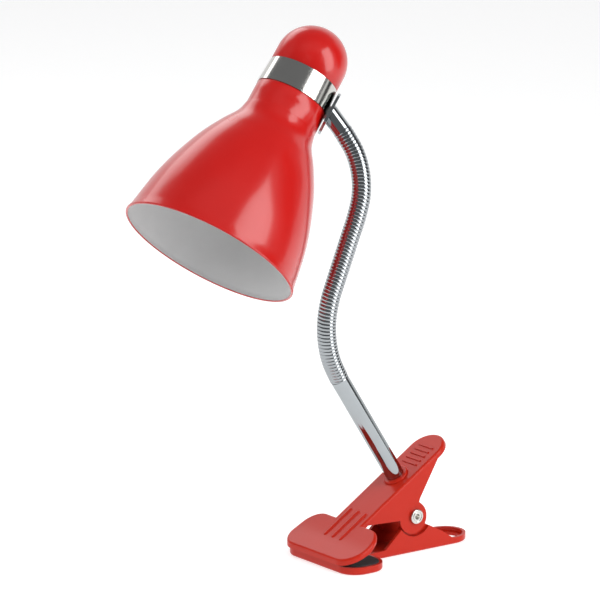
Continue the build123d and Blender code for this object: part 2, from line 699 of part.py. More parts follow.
with BuildPart() as shade:
    with BuildSketch(head_profile):
        with BuildLine():
            outer = bell_line(0)
            Polyline(
                outer @ 1,
                (NECK_RADIUS, BAND_START),
                (SPIGOT_RADIUS, BAND_START),
                (SPIGOT_RADIUS, SPIGOT_END),
                (SPIGOT_HOLE_RADIUS, SPIGOT_END),
                (SPIGOT_HOLE_RADIUS, SPIGOT_END - SHADE_WALL),
                (spigot_bore, SPIGOT_END - SHADE_WALL),
                (spigot_bore, BAND_START - 1.0),
                (NECK_RADIUS - SHADE_WALL, BAND_START - 2.5),
                (NECK_RADIUS - SHADE_WALL, SHOULDER),
            )
            inner = bell_line(SHADE_WALL)
            Line(inner @ 0, outer @ 0)
        make_face()
    revolve(axis=head_axis)
    # rolled lip at the mouth
    with BuildSketch(head_profile):
        with Locations((MOUTH_RADIUS - LIP_RADIUS, LIP_RADIUS)):
            Circle(LIP_RADIUS)
    revolve(axis=head_axis)
    add(stud_hole.part, mode=Mode.SUBTRACT)
save(shade.part, "shade")

with BuildPart() as neck_band:
    with BuildSketch(head_profile):
        with BuildLine():
            Polyline(
                (SPIGOT_RADIUS + SEAT_GAP, BAND_START + SEAT_GAP),
                (BAND_RADIUS_LOW, BAND_START + SEAT_GAP),
                (BAND_RADIUS_HIGH, BAND_END),
                (SPIGOT_RADIUS + SEAT_GAP, BAND_END),
                close=True,
            )
        make_face()
    revolve(axis=head_axis)
    add(stud_hole.part, mode=Mode.SUBTRACT)
save(neck_band.part, "neck_band")

dome_low = BAND_END + SEAT_GAP
cap_seat = DOME_TOP - CAP_RECESS_DEPTH


def dome_solid(radius, top):
    """Solid dome: a hemisphere on a short cylinder."""
    with BuildPart() as dome:
        with BuildSketch(head_profile):
            with BuildLine():
                Polyline((0, top), (0, dome_low), (radius, dome_low), (radius, top - radius))
                CenterArc((0, top - radius), radius, 0, 90)
            make_face()
        revolve(axis=head_axis)
    return dome.part


with BuildPart() as dome_cap:
    add(dome_solid(DOME_RADIUS, DOME_TOP))
    add(dome_solid(DOME_RADIUS - DOME_WALL, DOME_TOP - DOME_WALL), mode=Mode.SUBTRACT)
    # recess for the cap screw
    with BuildSketch(head_frame.offset(cap_seat - DOME_WALL)):
        Circle(CAP_RECESS_RADIUS + DOME_WALL)
    extrude(amount=CAP_RECESS_DEPTH + DOME_WALL / 2)
    with BuildSketch(head_frame.offset(cap_seat)):
        Circle(CAP_RECESS_RADIUS)
    extrude(amount=DOME_RADIUS, mode=Mode.SUBTRACT)
    with BuildSketch(head_frame.offset(cap_seat - 2 * DOME_WALL)):
        Circle(CAP_SCREW_RADIUS + SEAT_GAP)
    extrude(amount=DOME_RADIUS, mode=Mode.SUBTRACT)
save(dome_cap.part, "dome_cap")

# bracket: a plate under the spigot's flange, with a strap that the cap screw pulls on
plate_station = SPIGOT_END - SHADE_WALL - SEAT_GAP
with BuildPart() as holder_bracket:
    with BuildSketch(head_frame.offset(plate_station - BRACKET_WALL)):
        Circle(spigot_bore - 4 * SEAT_GAP)
        Circle(STUD_RADIUS + SEAT_GAP, mode=Mode.SUBTRACT)
    extrude(amount=BRACKET_WALL)
    with BuildSketch(head_frame.offset(plate_station)):
        with Locations((0, STRAP_HALF), (0, -STRAP_HALF)):
            Rectangle(STRAP_WIDTH, BRACKET_WALL)
    extrude(amount=STRAP_TOP - plate_station)
    with BuildSketch(head_frame.offset(STRAP_TOP - BRACKET_WALL)):
        Rectangle(STRAP_WIDTH, 2 * STRAP_HALF)
        Circle(CAP_SCREW_RADIUS + SEAT_GAP, mode=Mode.SUBTRACT)
    extrude(amount=BRACKET_WALL)
save(holder_bracket.part, "holder_bracket")

screw_low = STRAP_TOP - CAP_SCREW_BELOW_STRAP
head_low = cap_seat + SEAT_GAP
with BuildPart() as cap_screw:
    with BuildSketch(head_profile):
        with Locations((CAP_SCREW_RADIUS / 2, (head_low + CAP_SCREW_HEAD / 2 + screw_low) / 2)):
            Rectangle(CAP_SCREW_RADIUS, head_low + CAP_SCREW_HEAD / 2 - screw_low)
        with Locations((CAP_SCREW_HEAD_RADIUS / 2, head_low + CAP_SCREW_HEAD / 2)):
            Rectangle(CAP_SCREW_HEAD_RADIUS, CAP_SCREW_HEAD)
    revolve(axis=head_axis)
    with BuildSketch(head_frame.offset(head_low + CAP_SCREW_HEAD - CROSS_DEPTH)):
        Rectangle(CROSS_WIDTH, CROSS_LENGTH)
        Rectangle(CROSS_LENGTH, CROSS_WIDTH)
    extrude(amount=CAP_SCREW_HEAD, mode=Mode.SUBTRACT)
save(cap_screw.part, "cap_screw")

# ---------------------------------------------------------------- lampholder
def turned(points, name):
    """Turn a closed profile of (radius, station) points about the head's axis and save it."""
    with BuildPart() as piece:
        with BuildSketch(head_profile):
            with BuildLine():
                Polyline(*points, close=True)
            make_face()
        revolve(axis=head_axis)
    save(piece.part, name)


def ring(inner, outer, start, end):
    """Rectangular profile of a turned ring."""
    return [(inner, start), (outer, start), (outer, end), (inner, end)]


turned(
    [
        (HOLDER_RADIUS - HOLDER_LIP, HOLDER_MOUTH),
        (HOLDER_RADIUS - 1.0, HOLDER_MOUTH),
        (HOLDER_RADIUS - 0.4, HOLDER_MOUTH + 0.6),
        (HOLDER_RADIUS, SKIRT_TOP),
        (HOLDER_RADIUS - HOLDER_WALL, SKIRT_TOP),
        (HOLDER_RADIUS - HOLDER_WALL - 0.4, HOLDER_MOUTH + 2),
        (HOLDER_RADIUS - HOLDER_LIP, HOLDER_MOUTH + 2),
    ],
    "holder_skirt",
)
turned(
    [
        (HOLDER_RADIUS, SKIRT_TOP + SEAT_GAP),
        (16.0, 107.0),
        (13.0, 115.0),
        (9.0, HOLDER_TOP - 1),
        (7.5, HOLDER_TOP),
        (stud_hole_radius, HOLDER_TOP),
        (stud_hole_radius, HOLDER_TOP - HOLDER_WALL - 1),
        (8.0, HOLDER_TOP - HOLDER_WALL - 1),
        (11.4, 115.0),
        (14.4, 107.4),
        (HOLDER_RADIUS - HOLDER_WALL, SKIRT_TOP + SEAT_GAP),
    ],
    "holder_dome",
)
shell_radius = SOCKET_RADIUS + SHELL_WALL
turned(ring(SOCKET_RADIUS, shell_radius, SHELL_START, SHELL_END), "screw_shell")
sleeve_radius = HOLDER_RADIUS - HOLDER_LIP - 0.4
turned(ring(shell_radius + SEAT_GAP, sleeve_radius, SHELL_START, SLEEVE_END), "insulating_sleeve")
turned(ring(0, BASE_RADIUS, BASE_START, BASE_END), "contact_base")

with BuildPart() as centre_contact:
    with BuildSketch(head_profile):
        with BuildLine():
            FilletPolyline(*TONGUE_POINTS, radius=0.5)
            offset(amount=TONGUE_WALL, side=Side.LEFT)
        make_face()
    extrude(amount=TONGUE_WIDTH / 2, both=True)
save(centre_contact.part, "centre_contact")

screw_seat = BASE_END + SEAT_GAP
with BuildPart() as terminal_screws:
    with BuildSketch(head_frame.offset(screw_seat)):
        with PolarLocations(TERMINAL_SPACING, 2):
            Circle(TERMINAL_SHANK_RADIUS)
    extrude(amount=TERMINAL_SHANK)
    with BuildSketch(head_frame.offset(screw_seat + TERMINAL_SHANK)):
        with PolarLocations(TERMINAL_SPACING, 2):
            Circle(TERMINAL_HEAD_RADIUS)
    extrude(amount=TERMINAL_HEAD)
    with BuildSketch(head_frame.offset(screw_seat + TERMINAL_SHANK + TERMINAL_HEAD - TERMINAL_SLOT)):
        with PolarLocations(TERMINAL_SPACING, 2):
            Rectangle(TERMINAL_SLOT, 2.5 * TERMINAL_HEAD_RADIUS)
    extrude(amount=TERMINAL_HEAD, mode=Mode.SUBTRACT)
save(terminal_screws.part, "terminal_screws")

save(
    turned_ring(mouth_centre, head_up, STUD_BORE, STUD_RADIUS, HOLDER_NIPPLE_START, HOLDER_NIPPLE_END),
    "holder_nipple",
)
holder_nut_plane = head_frame.offset(plate_station + SEAT_GAP)
save(hex_nut(holder_nut_plane, NUT_FLATS, HOLDER_NUT_THICKNESS, stud_hole_radius), "holder_nut")

print("neck nodes", [tuple(round(c, 3) for c in node) for node in neck_nodes])
print("neck length", round(neck_length, 2))
print("disc centre", tuple(disc_centre), "normal", tuple(disc_normal), "mouth", tuple(mouth_centre))
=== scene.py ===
"""Looks of the clip-on reading lamp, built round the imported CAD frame. Metres, same frame as the CAD."""
import json
from math import asin, cos, pi, radians, sin, sqrt

import bpy
from mathutils import Matrix, Vector


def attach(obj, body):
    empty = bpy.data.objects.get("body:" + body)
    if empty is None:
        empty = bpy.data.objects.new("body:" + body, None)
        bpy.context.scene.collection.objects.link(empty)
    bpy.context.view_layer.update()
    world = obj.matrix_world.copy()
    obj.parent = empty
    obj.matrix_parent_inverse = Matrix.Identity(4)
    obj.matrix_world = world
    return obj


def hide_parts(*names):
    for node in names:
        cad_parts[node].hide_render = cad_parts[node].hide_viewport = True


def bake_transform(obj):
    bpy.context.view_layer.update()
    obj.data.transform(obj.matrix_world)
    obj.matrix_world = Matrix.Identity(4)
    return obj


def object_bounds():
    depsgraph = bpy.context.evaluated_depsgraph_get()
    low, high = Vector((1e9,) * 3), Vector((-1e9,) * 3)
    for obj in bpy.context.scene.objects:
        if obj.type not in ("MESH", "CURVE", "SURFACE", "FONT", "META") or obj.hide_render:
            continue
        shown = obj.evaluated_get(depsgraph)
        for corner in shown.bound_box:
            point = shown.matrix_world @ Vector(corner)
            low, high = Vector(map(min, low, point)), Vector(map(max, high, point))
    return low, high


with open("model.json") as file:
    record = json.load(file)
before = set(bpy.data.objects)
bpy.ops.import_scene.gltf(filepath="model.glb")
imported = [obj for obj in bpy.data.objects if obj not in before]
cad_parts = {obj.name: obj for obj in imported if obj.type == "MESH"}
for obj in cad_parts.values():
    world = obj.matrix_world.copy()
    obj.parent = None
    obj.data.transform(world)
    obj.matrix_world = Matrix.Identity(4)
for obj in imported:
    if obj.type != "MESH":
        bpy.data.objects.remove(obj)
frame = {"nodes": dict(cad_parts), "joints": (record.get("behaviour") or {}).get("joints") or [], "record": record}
cad_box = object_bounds()

MM = 0.001
RECORD = frame["record"]
JOINTS = {joint["name"]: joint for joint in frame["joints"]}
MOUNTS = {mount["name"]: mount for mount in RECORD["mounts"]}


# ---------------------------------------------------------------- camera
CAMERA_SIDE = -36.5         # azimuth of the camera in degrees; 0 looks along +Y
CAMERA_HEIGHT = 13.7        # its elevation in degrees
VIEW_DISTANCE = 4.0
SENSOR_WIDTH = 36.0
CLIP_END = 50.0
FIELD = 0.3810              # width of the view at the object
CENTRE_RIGHT = -0.0001      # the view's centre against the CAD box's centre
CENTRE_UP = -0.0009


def direction_to(azimuth, elevation):
    """Unit vector from the lamp towards a place seen at an azimuth and an elevation in degrees."""
    a, e = radians(azimuth), radians(elevation)
    return Vector((sin(a) * cos(e), -cos(a) * cos(e), sin(e)))


back = direction_to(CAMERA_SIDE, CAMERA_HEIGHT)
right = Vector((0, 0, 1)).cross(back).normalized()
up = back.cross(right)
box_centre = (Vector(cad_box[0]) + Vector(cad_box[1])) / 2
aim = box_centre + right * CENTRE_RIGHT + up * CENTRE_UP

camera_data = bpy.data.cameras.new("camera")
camera = bpy.data.objects.new("camera", camera_data)
bpy.context.scene.collection.objects.link(camera)
camera_data.sensor_width = SENSOR_WIDTH
camera_data.lens = SENSOR_WIDTH * VIEW_DISTANCE / FIELD
camera_data.clip_end = CLIP_END
turn = Matrix((right, up, back)).transposed().to_4x4()
camera.matrix_world = Matrix.Translation(aim + back * VIEW_DISTANCE) @ turn
bpy.context.scene.camera = camera
bpy.context.scene.view_settings.view_transform = "Standard"


# ---------------------------------------------------------------- materials
DRIFT_SCALE = 60            # noise features per metre, for slow changes of colour
GLOSS_SCALE = 140           # for changes of gloss
LACQUER_GLOSS_SCALE = 30
SOFT_DETAIL = 3
GRAIN_DETAIL = 2
LACQUER_DETAIL = 1
LACQUER_DRIFT = 0.015
TINT_FROM = 0.3             # noise value at which a tint is at its darkest
TINT_TO = 0.7


def new_material(name):
    """A material with its node tree and its main shader."""
    material = bpy.data.materials.new(name)
    material.use_nodes = True
    nodes, links = material.node_tree.nodes, material.node_tree.links
    return material, nodes, links, nodes["Principled BSDF"]


def noise(nodes, links, scale, detail):
    """Noise over the object's own coordinates, in features per metre."""
    place = nodes.new("ShaderNodeTexCoord")
    texture = nodes.new("ShaderNodeTexNoise")
    texture.inputs["Scale"].default_value = scale
    texture.inputs["Detail"].default_value = detail
    links.new(place.outputs["Object"], texture.inputs["Vector"])
    return texture.outputs["Fac"]


def spread(nodes, links, source, low, high):
    """A value between low and high that follows a noise."""
    ramp = nodes.new("ShaderNodeMapRange")
    ramp.inputs["From Min"].default_value = 0.0
    ramp.inputs["From Max"].default_value = 1.0
    ramp.inputs["To Min"].default_value = low
    ramp.inputs["To Max"].default_value = high
    links.new(source, ramp.inputs["Value"])
    return ramp.outputs["Result"]


def tint(nodes, links, source, dark, light):
    """A colour between dark and light that follows a noise."""
    ramp = nodes.new("ShaderNodeValToRGB")
    ramp.color_ramp.elements[0].position = TINT_FROM
    ramp.color_ramp.elements[1].position = TINT_TO
    ramp.color_ramp.elements[0].color = (*dark, 1)
    ramp.color_ramp.elements[1].color = (*light, 1)
    links.new(source, ramp.inputs["Fac"])
    return ramp.outputs["Color"]


def bump(nodes, links, source, height):
    """Surface normal raised and lowered by a noise, over a height in metres."""
    node = nodes.new("ShaderNodeBump")
    node.inputs["Strength"].default_value = 1.0
    node.inputs["Distance"].default_value = height
    links.new(source, node.inputs["Height"])
    return node.outputs["Normal"]


def scaled(colour, factor):
    """A colour made darker or lighter."""
    return tuple(min(1.0, c * factor) for c in colour)


def drift(nodes, links, shader, colour, vary):
    """Base colour that wanders a little darker and lighter."""
    source = noise(nodes, links, DRIFT_SCALE, SOFT_DETAIL)
    colours = tint(nodes, links, source, scaled(colour, 1 - vary), scaled(colour, 1 + vary))
    links.new(colours, shader.inputs["Base Color"])


def finish(name, colour, vary, rough, grain, height, metallic=0.0):
    """Metal, rubber or plastic: colour and gloss that drift a little, and a fine surface grain."""
    material, nodes, links, shader = new_material(name)
    drift(nodes, links, shader, colour, vary)
    gloss = spread(nodes, links, noise(nodes, links, GLOSS_SCALE, SOFT_DETAIL), rough[0], rough[1])
    links.new(gloss, shader.inputs["Roughness"])
    surface = bump(nodes, links, noise(nodes, links, grain, GRAIN_DETAIL), height)
    links.new(surface, shader.inputs["Normal"])
    shader.inputs["Metallic"].default_value = metallic
    return material


def lacquer(name, colour, specular, rough, coat, coat_rough):
    """Sprayed lacquer: colour and gloss drift very little, and the surface has no grain."""
    material, nodes, links, shader = new_material(name)
    drift(nodes, links, shader, colour, LACQUER_DRIFT)
    gloss = spread(nodes, links, noise(nodes, links, LACQUER_GLOSS_SCALE, LACQUER_DETAIL), rough[0], rough[1])
    links.new(gloss, shader.inputs["Roughness"])
    shader.inputs["Specular IOR Level"].default_value = specular
    shader.inputs["Coat Weight"].default_value = coat
    shader.inputs["Coat Roughness"].default_value = coat_rough
    return material


RED = (0.50, 0.006, 0.004)
CLIP_RED = (0.46, 0.018, 0.007)
WHITE = (0.66, 0.66, 0.66)
CHROME = (0.38, 0.405, 0.42)
# darker than CHROME: the gooseneck's base colour is lowered as a painted shade for the dark lines between the
# winding's turns
SHADED_COIL_METAL = (0.34, 0.36, 0.375)
NICKEL = (0.62, 0.61, 0.58)
ZINC = (0.60, 0.60, 0.58)
SPRING_STEEL = (0.36, 0.36, 0.37)
BRASS = (0.70, 0.50, 0.20)
RUBBER = (0.028, 0.028, 0.030)
BAKELITE = (0.78, 0.77, 0.73)
STEATITE = (0.82, 0.80, 0.75)

clip_red = lacquer("clip_red", CLIP_RED, 0.15, (0.30, 0.32), 0.12, 0.12)
shade_red = lacquer("shade_red", RED, 0.30, (0.26, 0.30), 0.55, 0.14)
shade_white = finish("shade_white", WHITE, 0.02, (0.45, 0.55), 1100, 0.00003)
chrome = finish("chrome", CHROME, 0.03, (0.05, 0.09), 500, 0.000004, metallic=1.0)
# the gooseneck's chrome, made darker than the tube's as a painted shade for the dark lines between its turns
shaded_coil_chrome = finish("shaded_coil_chrome", SHADED_COIL_METAL, 0.05, (0.08, 0.15), 900, 0.00001, metallic=1.0)
nickel = finish("nickel", NICKEL, 0.03, (0.10, 0.16), 800, 0.000006, metallic=1.0)
zinc = finish("zinc", ZINC, 0.08, (0.28, 0.42), 600, 0.00002, metallic=1.0)
spring_steel = finish("spring_steel", SPRING_STEEL, 0.10, (0.25, 0.40), 1200, 0.00002, metallic=1.0)
brass = finish("brass", BRASS, 0.08, (0.20, 0.32), 700, 0.00001, metallic=1.0)
rubber = finish("rubber", RUBBER, 0.15, (0.60, 0.75), 1500, 0.00006)
bakelite = finish("bakelite", BAKELITE, 0.03, (0.35, 0.45), 900, 0.00002)
steatite = finish("steatite", STEATITE, 0.04, (0.15, 0.25), 700, 0.00002)

BY_SLOT = {
    "red_lacquer_clip": clip_red,
    "red_lacquer_shade": shade_red,
    "chrome_neck": shaded_coil_chrome,
    "chrome_tube": chrome,
    "band_nickel": nickel,
    "rubber_pad": rubber,
    "spring_steel": spring_steel,
    "zinc_steel": zinc,
    "rivet_nickel": nickel,
    "holder_plastic": bakelite,
    "holder_ceramic": steatite,
    "contact_brass": brass,
}
for part in RECORD["subparts"]:
    mesh = frame["nodes"][part["node"]].data
    mesh.materials.clear()
    mesh.materials.append(BY_SLOT[part["material_slot"]])


# ---------------------------------------------------------------- the head's own frame
# Stations run in millimetres from the mouth of the shade, at 0, up the head's axis.
DISC_FACE = 26.6            # from the head's axis to the disc's outer face
DISC_STATION = 118.0
head_up = -Vector(MOUNTS["bulb_socket"]["axis"]).normalized()
disc_normal = Vector(JOINTS["head_swivel"]["axis"]).normalized()
disc_centre = Vector(JOINTS["head_swivel"]["pos_m"])
mouth = disc_centre - disc_normal * DISC_FACE * MM - head_up * DISC_STATION * MM


# ---------------------------------------------------------------- mesh helpers
def mesh_object(name, vertices, faces, materials, indices=None):
    """Smooth-shaded mesh in the scene; the indices say which material each face takes."""
    mesh = bpy.data.meshes.new(name)
    mesh.from_pydata([tuple(v) for v in vertices], [], faces)
    for material in materials:
        mesh.materials.append(material)
    if indices:
        mesh.polygons.foreach_set("material_index", indices)
    mesh.polygons.foreach_set("use_smooth", [True] * len(mesh.polygons))
    mesh.update()
    obj = bpy.data.objects.new(name, mesh)
    bpy.context.scene.collection.objects.link(obj)
    return obj


def grid_faces(rows, columns, closed_rows=False):
    """Quads of a grid of points whose columns close round, and whose rows may."""
    faces = []
    for row in range(rows if closed_rows else rows - 1):
        this_row = row * columns
        next_row = (row + 1) % rows * columns
        for column in range(columns):
            side = (column + 1) % columns
            faces.append((this_row + column, this_row + side, next_row + side, next_row + column))
    return faces


def turned(name, profile, materials, around, index_of=None):
    """Mesh turned about the head's axis from a closed profile of (radius, station) points in millimetres."""
    across = head_up.cross(disc_normal)
    vertices = []
    for radius, station in profile:
        for k in range(around):
            angle = 2 * pi * k / around
            spoke = disc_normal * cos(angle) + across * sin(angle)
            vertices.append(mouth + head_up * station * MM + spoke * radius * MM)
    faces = grid_faces(len(profile), around, True)
    indices = None
    if index_of:
        indices = [index_of(face // around) for face in range(len(faces))]
    return mesh_object(name, vertices, faces, materials, indices)


def spline(points, samples):
    """Smooth curve through a few points (Catmull-Rom), with mirrored end points."""
    ends = [2 * points[0] - points[1]] + list(points) + [2 * points[-1] - points[-2]]
    curve = []
    for k in range(1, len(ends) - 2):
        p0, p1, p2, p3 = ends[k - 1], ends[k], ends[k + 1], ends[k + 2]
        for step in range(samples):
            t = step / samples
            curve.append(
                p1
                + (p2 - p0) * (t / 2)
                + (2 * p0 - 5 * p1 + 4 * p2 - p3) * (t * t / 2)
                + (3 * p1 - p0 - 3 * p2 + p3) * (t * t * t / 2)
            )
    curve.append(ends[-2])
    return curve


# ---------------------------------------------------------------- head: shade
BELL = [(58.3, 1.0), (52.5, 33), (43, 61), (34, 79), (26.6, 91), (24.0, 100)]
BELL_SAMPLES = 10
WALL = 0.9
LIP = 0.85                  # radius of the rolled lip's section
MOUTH_LIP = 58.9            # radius of the mouth, over the lip
LIP_FROM = 200              # angles of the lip's half circle, in degrees
LIP_TO = 395
LIP_STEP = 15
HOUSING_RADIUS = 24.0       # straight neck of the shade, under the band
HOUSING_MIDDLE = 108.0
HOUSING_INNER_LOW = 101.0
HOUSING_INNER_HIGH = 112.5
BAND_START = 115.0
BAND_BEVEL_IN = 0.3
BAND_BEVEL_DOWN = 0.5
SPIGOT_RADIUS = 22.9        # step that the band and the cap slide over
SPIGOT_INNER_LOW = 114.0
SPIGOT_END = 128.0
FLANGE_HOLE = 18.0
SHADE_AROUND = 160


def bell_points(inset):
    """Side of the bell from the lip to the neck, moved in from the outside."""
    return [(p.x - inset, p.y) for p in spline([Vector(point) for point in BELL], BELL_SAMPLES)]


def lip_points():
    """Rolled lip: half of a circle round the bell's lower edge."""
    centre = Vector((MOUTH_LIP - LIP, LIP))
    return [
        (centre.x + LIP * cos(radians(angle)), centre.y + LIP * sin(radians(angle)))
        for angle in range(LIP_FROM, LIP_TO, LIP_STEP)
    ]


housing_outside = [
    (HOUSING_RADIUS, HOUSING_MIDDLE),
    (HOUSING_RADIUS, BAND_START - BAND_BEVEL_DOWN),
    (HOUSING_RADIUS - BAND_BEVEL_IN, BAND_START),
    (SPIGOT_RADIUS, BAND_START),
    (SPIGOT_RADIUS, SPIGOT_END),
    (FLANGE_HOLE, SPIGOT_END),
    (FLANGE_HOLE, SPIGOT_END - WALL),
    (SPIGOT_RADIUS - WALL, SPIGOT_END - WALL),
]
housing_inside = [
    (SPIGOT_RADIUS - WALL, SPIGOT_INNER_LOW),
    (HOUSING_RADIUS - WALL, HOUSING_INNER_HIGH),
    (HOUSING_RADIUS - WALL, HOUSING_INNER_LOW),
]
red_side = lip_points() + bell_points(0)[1:] + housing_outside
white_side = housing_inside + bell_points(WALL)[::-1]
shade = turned(
    "shade_skin", red_side + white_side, [shade_red, shade_white], SHADE_AROUND,
    lambda row: 1 if row >= len(red_side) else 0,
)
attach(shade, "head")
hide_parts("shade")


# ---------------------------------------------------------------- head: cap and its screw hole
DOME_RADIUS = 23.3
DOME_TOP = 166.0
DOME_WALL = 1.0
DOME_LOW = 132.05
DOME_EDGE = 0.35            # bevel of the dome's lower edge
CAP_RECESS = 3.4            # radius of the recess for the screw's head
CAP_SEAT = 163.8
CAP_HOLE = 2.05
RECESS_ROUND = 0.5          # rounding where the dome turns into the recess
RECESS_EDGE_IN = 0.15
RECESS_EDGE_DOWN = 0.55
RECESS_WALL_TOP = 0.9
DOME_STEPS = 40
DOME_INNER_STEPS = 30
DOME_AROUND = 128


def arc(centre, radius, start, end, steps):
    """Points of an arc in a turned profile, angles in degrees from the radius towards the axis."""
    return [
        (
            centre[0] + radius * cos(radians(start + (end - start) * k / steps)),
            centre[1] + radius * sin(radians(start + (end - start) * k / steps)),
        )
        for k in range(steps + 1)
    ]


dome_centre = DOME_TOP - DOME_RADIUS
dome_inner = DOME_RADIUS - DOME_WALL
boss_radius = CAP_RECESS + DOME_WALL
recess_angle = 90 - asin((CAP_RECESS + RECESS_ROUND) / DOME_RADIUS) * 180 / pi
boss_angle = 90 - asin(boss_radius / dome_inner) * 180 / pi
dome_profile = [
    (DOME_RADIUS - DOME_EDGE, DOME_LOW),
    (DOME_RADIUS, DOME_LOW + DOME_EDGE),
    *arc((0, dome_centre), DOME_RADIUS, 0, recess_angle, DOME_STEPS),
    (CAP_RECESS + RECESS_EDGE_IN, DOME_TOP - RECESS_EDGE_DOWN),
    (CAP_RECESS, DOME_TOP - RECESS_WALL_TOP),
    (CAP_RECESS, CAP_SEAT),
    (CAP_HOLE, CAP_SEAT),
    (CAP_HOLE, CAP_SEAT - DOME_WALL),
    (boss_radius, CAP_SEAT - DOME_WALL),
    *arc((0, dome_centre), dome_inner, boss_angle, 0, DOME_INNER_STEPS),
    (dome_inner, DOME_LOW),
]
dome = turned("dome_skin", dome_profile, [shade_red], DOME_AROUND)
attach(dome, "head")
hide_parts("dome_cap")


# ---------------------------------------------------------------- lampholder: thread of the screw shell
SHELL_START = 86.2
SHELL_END = 100.8
SHELL_RADIUS = 13.3
SHELL_WALL = 0.4
THREAD_PITCH = 3.62
THREAD_DEPTH = 0.32
THREAD_FADE = 1.2           # length over which the thread dies out at either end
THREAD_AROUND = 72
THREAD_ROWS = 60


def shell_grid(offset):
    """Points of the rolled thread: the wall waves in and out along a helix."""
    across = head_up.cross(disc_normal)
    points = []
    for row in range(THREAD_ROWS + 1):
        station = SHELL_START + (SHELL_END - SHELL_START) * row / THREAD_ROWS
        fade = min(1.0, (station - SHELL_START) / THREAD_FADE, (SHELL_END - station) / THREAD_FADE)
        for k in range(THREAD_AROUND):
            angle = 2 * pi * k / THREAD_AROUND
            wave = 0.5 - 0.5 * cos(2 * pi * station / THREAD_PITCH - angle)
            radius = SHELL_RADIUS + offset - THREAD_DEPTH * wave * max(fade, 0.0)
            spoke = disc_normal * cos(angle) + across * sin(angle)
            points.append(mouth + head_up * station * MM + spoke * radius * MM)
    return points


count = (THREAD_ROWS + 1) * THREAD_AROUND
shell_inner = [tuple(reversed(face)) for face in grid_faces(THREAD_ROWS + 1, THREAD_AROUND)]
shell_outer = [tuple(v + count for v in face) for face in grid_faces(THREAD_ROWS + 1, THREAD_AROUND)]
shell_rims = []
for row in (0, THREAD_ROWS):
    for k in range(THREAD_AROUND):
        a = row * THREAD_AROUND + k
        b = row * THREAD_AROUND + (k + 1) % THREAD_AROUND
        quad = (a, b, b + count, a + count)
        shell_rims.append(quad if row == 0 else tuple(reversed(quad)))
shell_points = shell_grid(0.0) + shell_grid(SHELL_WALL)
shell = mesh_object("screw_shell_skin", shell_points, shell_inner + shell_outer + shell_rims, [brass])
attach(shell, "head")
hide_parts("screw_shell")


# ---------------------------------------------------------------- torsion spring: coil and upper leg
WIRE = 0.9                  # radius of the spring's wire
COIL = 5.4                  # radius of the coil, to the middle of the wire
COIL_PITCH = 2.3
COIL_TURNS = 5
COIL_PART_TURN = radians(305)
COIL_FROM = radians(40)
COIL_SWEEP = 2 * pi * COIL_TURNS + COIL_PART_TURN
COIL_STEPS = 230
LOWER_LEG = radians(-50)
UPPER_LEG = radians(75)
LOWER_LEG_LENGTH = 31.0
UPPER_LEG_LENGTH = 35.5
OVERLAP = radians(55)       # the coil and the upper leg's piece lie inside each other over this angle
OVERLAP_STEPS = 24
WIRE_AROUND = 14
pivot = Vector(JOINTS["jaw_hinge"]["pos_m"])
coil_half = COIL_PITCH * COIL_SWEEP / (2 * pi) / 2


def coil_point(turn):
    """Point of the coil's centre line after a turn from the lower leg."""
    angle = COIL_FROM + turn
    along = coil_half - COIL_PITCH * turn / (2 * pi)
    return pivot + Vector((COIL * cos(angle), along, COIL * sin(angle))) * MM


def spring_wire(name, path):
    """Round wire along a path of points, with flat ends."""
    vertices = []
    spoke = (path[1] - path[0]).orthogonal().normalized()
    last_index = len(path) - 1
    for k, point in enumerate(path):
        tangent = (path[min(k + 1, last_index)] - path[max(k - 1, 0)]).normalized()
        spoke = (spoke - tangent * spoke.dot(tangent)).normalized()
        other = tangent.cross(spoke)
        for column in range(WIRE_AROUND):
            angle = 2 * pi * column / WIRE_AROUND
            vertices.append(point + (spoke * cos(angle) + other * sin(angle)) * WIRE * MM)
    faces = grid_faces(len(path), WIRE_AROUND)
    faces.append(tuple(range(WIRE_AROUND)))
    faces.append(tuple(reversed(range(last_index * WIRE_AROUND, (last_index + 1) * WIRE_AROUND))))
    return mesh_object(name, vertices, faces, [spring_steel])


lower_end = coil_point(0) + Vector((cos(LOWER_LEG), 0, sin(LOWER_LEG))) * LOWER_LEG_LENGTH * MM
upper_end = coil_point(COIL_SWEEP) + Vector((cos(UPPER_LEG), 0, sin(UPPER_LEG))) * UPPER_LEG_LENGTH * MM
lower_path = [lower_end.lerp(coil_point(0), t) for t in (0, 0.5, 0.95)]
lower_path += [coil_point((COIL_SWEEP - OVERLAP) * k / COIL_STEPS) for k in range(COIL_STEPS + 1)]
upper_from = COIL_SWEEP - 2 * OVERLAP
upper_path = [coil_point(upper_from + 2 * OVERLAP * k / OVERLAP_STEPS) for k in range(OVERLAP_STEPS + 1)]
upper_path += [coil_point(COIL_SWEEP).lerp(upper_end, t) for t in (0.05, 0.5, 1)]
lower_spring = spring_wire("spring_coil", lower_path)
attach(lower_spring, "root")
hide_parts("torsion_spring")
upper_spring = spring_wire("spring_upper_leg", upper_path)
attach(upper_spring, "upper_jaw")


# ---------------------------------------------------------------- gooseneck
LINKS = 12
NECK_RADIUS = 6.25
WIRE_PITCH = 2.2
GROOVE = 0.42               # depth between two turns of the winding
SAMPLES_PER_TURN = 10
CENTRE_SAMPLES = 40         # points of the centre line between two hinges
FERRULE_LAP = 2.3           # how far the winding runs on over the ferrule
NECK_AROUND = 48

chain = ["upper_jaw"] + [f"neck_{k:02d}" for k in range(1, LINKS + 1)]
hinge_of = {joint["child"]: joint for joint in frame["joints"]}
hinges = [Vector(hinge_of[body]["pos_m"]) for body in chain[1:]]
last_step = hinges[-1] - hinges[-2]
step_before = hinges[-2] - hinges[-3]
hinges.append(hinges[-1] + step_before.rotation_difference(last_step) @ last_step)

